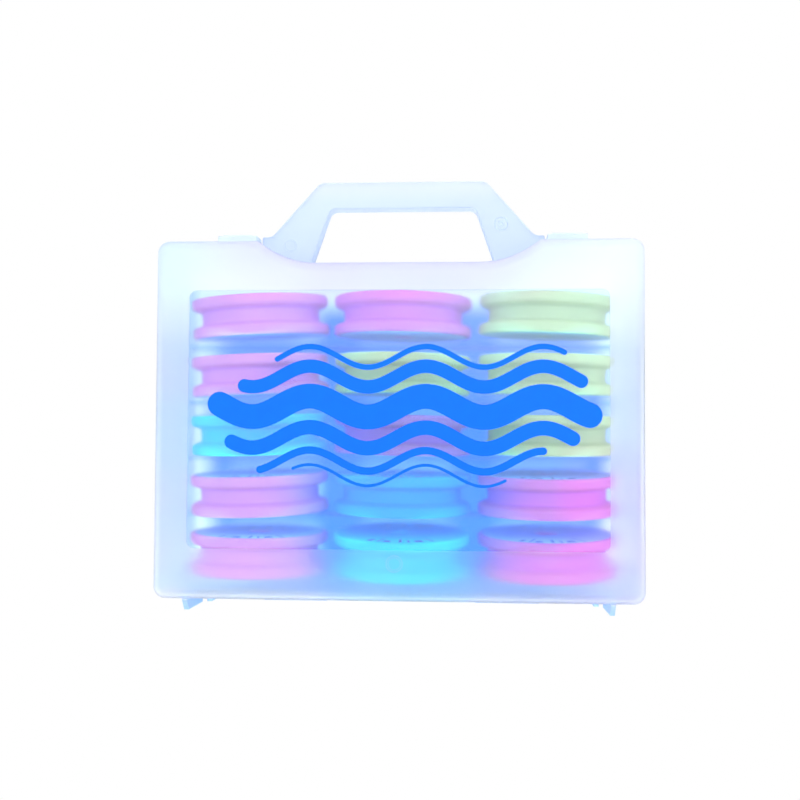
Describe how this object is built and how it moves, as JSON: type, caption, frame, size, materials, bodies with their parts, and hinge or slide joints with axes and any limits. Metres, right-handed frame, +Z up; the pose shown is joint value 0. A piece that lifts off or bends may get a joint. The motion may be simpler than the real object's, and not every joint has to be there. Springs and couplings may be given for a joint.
{
  "type": "bobbin box",
  "caption": "Frosted clear plastic carrying case with a moulded handle, hinged front lid and snap latches, holding round grooved foam line winders in rows.",
  "frame": {"origin": "centre of the footprint, on the surface the case stands on", "axes": "+X to the viewer's right, -Y out of the front lid, +Z up to the handle"},
  "size_m": [0.2372, 0.076, 0.2176],
  "materials": {
    "frosted_front": "satin",
    "frosted_rear": "satin",
    "frosted_handle": "satin",
    "frosted_latch": "satin",
    "frosted_divider": "satin",
    "pin_steel": "satin",
    "foam_pink": "matte",
    "foam_yellow": "matte",
    "foam_cyan": "matte"
  },
  "bodies": {
    "case": {"rear_shell": "frosted_rear", "carry_handle": "frosted_handle", "latch_pin_left": "pin_steel", "latch_pin_right": "pin_steel", "hinge_pin_left": "pin_steel", "hinge_pin_right": "pin_steel", "divider_1": "frosted_divider", "divider_2": "frosted_divider", "divider_3": "frosted_divider", "divider_4": "frosted_divider", "divider_5": "frosted_divider"},
    "lid": {"front_shell": "frosted_front"},
    "latch_l": {"latch_left": "frosted_latch"},
    "latch_r": {"latch_right": "frosted_latch"},
    "winder_r1c1_body": {"winder_r1c1": "foam_pink"},
    "winder_r1c2_body": {"winder_r1c2": "foam_pink"},
    "winder_r1c3_body": {"winder_r1c3": "foam_yellow"},
    "winder_r2c1_body": {"winder_r2c1": "foam_pink"},
    "winder_r2c2_body": {"winder_r2c2": "foam_yellow"},
    "winder_r2c3_body": {"winder_r2c3": "foam_yellow"},
    "winder_r3c1_body": {"winder_r3c1": "foam_cyan"},
    "winder_r3c2_body": {"winder_r3c2": "foam_pink"},
    "winder_r3c3_body": {"winder_r3c3": "foam_yellow"},
    "winder_r4c1_body": {"winder_r4c1": "foam_pink"},
    "winder_r4c2_body": {"winder_r4c2": "foam_cyan"},
    "winder_r4c3_body": {"winder_r4c3": "foam_pink"},
    "winder_r5c1_body": {"winder_r5c1": "foam_pink"},
    "winder_r5c2_body": {"winder_r5c2": "foam_cyan"},
    "winder_r5c3_body": {"winder_r5c3": "foam_pink"}
  },
  "joints": [
    {"name": "lid_hinge", "type": "hinge", "parent": "case", "child": "lid", "pos_m": [0, 0, 0.00285], "axis": [1, 0, 0], "range_deg": [0, 180]},
    {"name": "latch_left_flip", "type": "hinge", "parent": "case", "child": "latch_l", "pos_m": [-0.084, 0.006, 0.1846], "axis": [-1, 0, 0], "range_deg": [0, 110]},
    {"name": "latch_right_flip", "type": "hinge", "parent": "case", "child": "latch_r", "pos_m": [0.084, 0.006, 0.1846], "axis": [-1, 0, 0], "range_deg": [0, 110]},
    {"name": "winder_r1c1_spin", "type": "hinge", "parent": "case", "child": "winder_r1c1_body", "pos_m": [-0.0734, 0, 0.1473], "axis": [-0.0487, -0.0698, 0.9964], "continuous": true},
    {"name": "winder_r1c2_spin", "type": "hinge", "parent": "case", "child": "winder_r1c2_body", "pos_m": [0.0004, 0, 0.1473], "axis": [0.0174, -0.0262, 0.9995], "continuous": true},
    {"name": "winder_r1c3_spin", "type": "hinge", "parent": "case", "child": "winder_r1c3_body", "pos_m": [0.0742, 0, 0.1473], "axis": [0.0349, -0.0436, 0.9984], "continuous": true},
    {"name": "winder_r2c1_spin", "type": "hinge", "parent": "case", "child": "winder_r2c1_body", "pos_m": [-0.0734, 0, 0.1171], "axis": [-0.0383, -0.0471, 0.9982], "continuous": true},
    {"name": "winder_r2c2_spin", "type": "hinge", "parent": "case", "child": "winder_r2c2_body", "pos_m": [0.0004, 0, 0.1171], "axis": [0.0174, -0.0192, 0.9997], "continuous": true},
    {"name": "winder_r2c3_spin", "type": "hinge", "parent": "case", "child": "winder_r2c3_body", "pos_m": [0.0742, 0, 0.1171], "axis": [0.0174, -0.0384, 0.9991], "continuous": true},
    {"name": "winder_r3c1_spin", "type": "hinge", "parent": "case", "child": "winder_r3c1_body", "pos_m": [-0.0734, 0, 0.0869], "axis": [-0.0262, -0.0454, 0.9986], "continuous": true},
    {"name": "winder_r3c2_spin", "type": "hinge", "parent": "case", "child": "winder_r3c2_body", "pos_m": [0.0004, 0, 0.0869], "axis": [0.0227, -0.0314, 0.9992], "continuous": true},
    {"name": "winder_r3c3_spin", "type": "hinge", "parent": "case", "child": "winder_r3c3_body", "pos_m": [0.0742, 0, 0.0869], "axis": [0.0105, -0.0314, 0.9995], "continuous": true},
    {"name": "winder_r4c1_spin", "type": "hinge", "parent": "case", "child": "winder_r4c1_body", "pos_m": [-0.0734, 0, 0.0567], "axis": [-0.0296, -0.0454, 0.9985], "continuous": true},
    {"name": "winder_r4c2_spin", "type": "hinge", "parent": "case", "child": "winder_r4c2_body", "pos_m": [0.0004, 0, 0.0567], "axis": [0.014, -0.0332, 0.9994], "continuous": true},
    {"name": "winder_r4c3_spin", "type": "hinge", "parent": "case", "child": "winder_r4c3_body", "pos_m": [0.0742, 0, 0.0567], "axis": [0.0017, -0.0506, 0.9987], "continuous": true},
    {"name": "winder_r5c1_spin", "type": "hinge", "parent": "case", "child": "winder_r5c1_body", "pos_m": [-0.0734, 0, 0.0265], "axis": [0.0052, -0.0314, 0.9995], "continuous": true},
    {"name": "winder_r5c2_spin", "type": "hinge", "parent": "case", "child": "winder_r5c2_body", "pos_m": [0.0004, 0, 0.0265], "axis": [0.0104, -0.075, 0.9971], "continuous": true},
    {"name": "winder_r5c3_spin", "type": "hinge", "parent": "case", "child": "winder_r5c3_body", "pos_m": [0.0742, 0, 0.0265], "axis": [0, -0.0576, 0.9983], "continuous": true}
  ]
}
